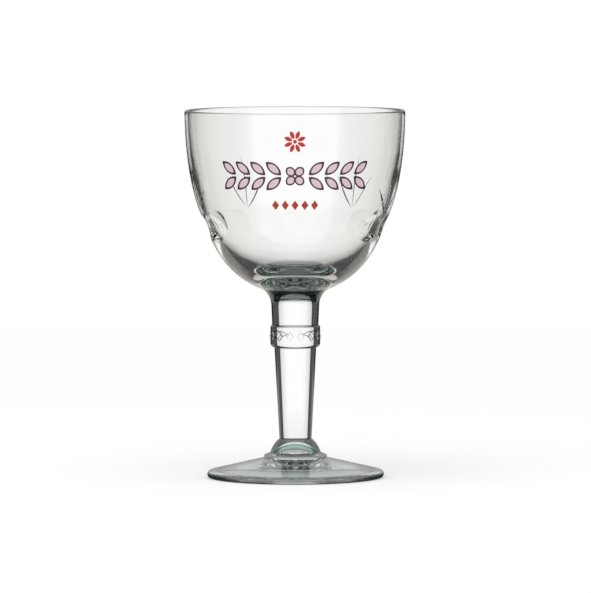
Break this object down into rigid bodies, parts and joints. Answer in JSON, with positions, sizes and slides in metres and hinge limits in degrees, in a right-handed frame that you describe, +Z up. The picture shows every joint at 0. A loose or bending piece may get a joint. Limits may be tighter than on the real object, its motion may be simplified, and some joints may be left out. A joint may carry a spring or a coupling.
{
  "type": "chalice beer glass",
  "caption": "Footed beer chalice: thick-based bowl with pressed ovals and ray fans, stem with a raised collar, wide low foot, and enamel ornament on the front.",
  "frame": {"origin": "on the axis, at the level of the table under the foot", "axes": "+Z up the axis from the foot to the rim; -Y is the front, with the enamel; +X to the right seen from the front"},
  "size_m": [0.105, 0.105, 0.175],
  "materials": {
    "bowl_glass": "clear soda glass, fire polished, faint green tint in the thick base",
    "stem_glass": "clear pressed soda glass, smooth, faint green tint",
    "foot_glass": "clear pressed soda glass, smooth, faint green tint",
    "plum_enamel": "fired glass enamel, dark plum, satin gloss",
    "pink_enamel": "fired glass enamel, pale pink, satin gloss",
    "red_enamel": "fired glass enamel, red, satin gloss",
    "brick_enamel": "fired glass enamel, brick red, satin gloss"
  },
  "bodies": {
    "root": {"bowl": "bowl_glass", "stem": "stem_glass", "foot": "foot_glass", "enamel_leaf_outlines": "plum_enamel", "enamel_leaf_fills": "pink_enamel", "enamel_rosette": "red_enamel", "enamel_lozenge_row": "brick_enamel"}
  },
  "joints": []
}
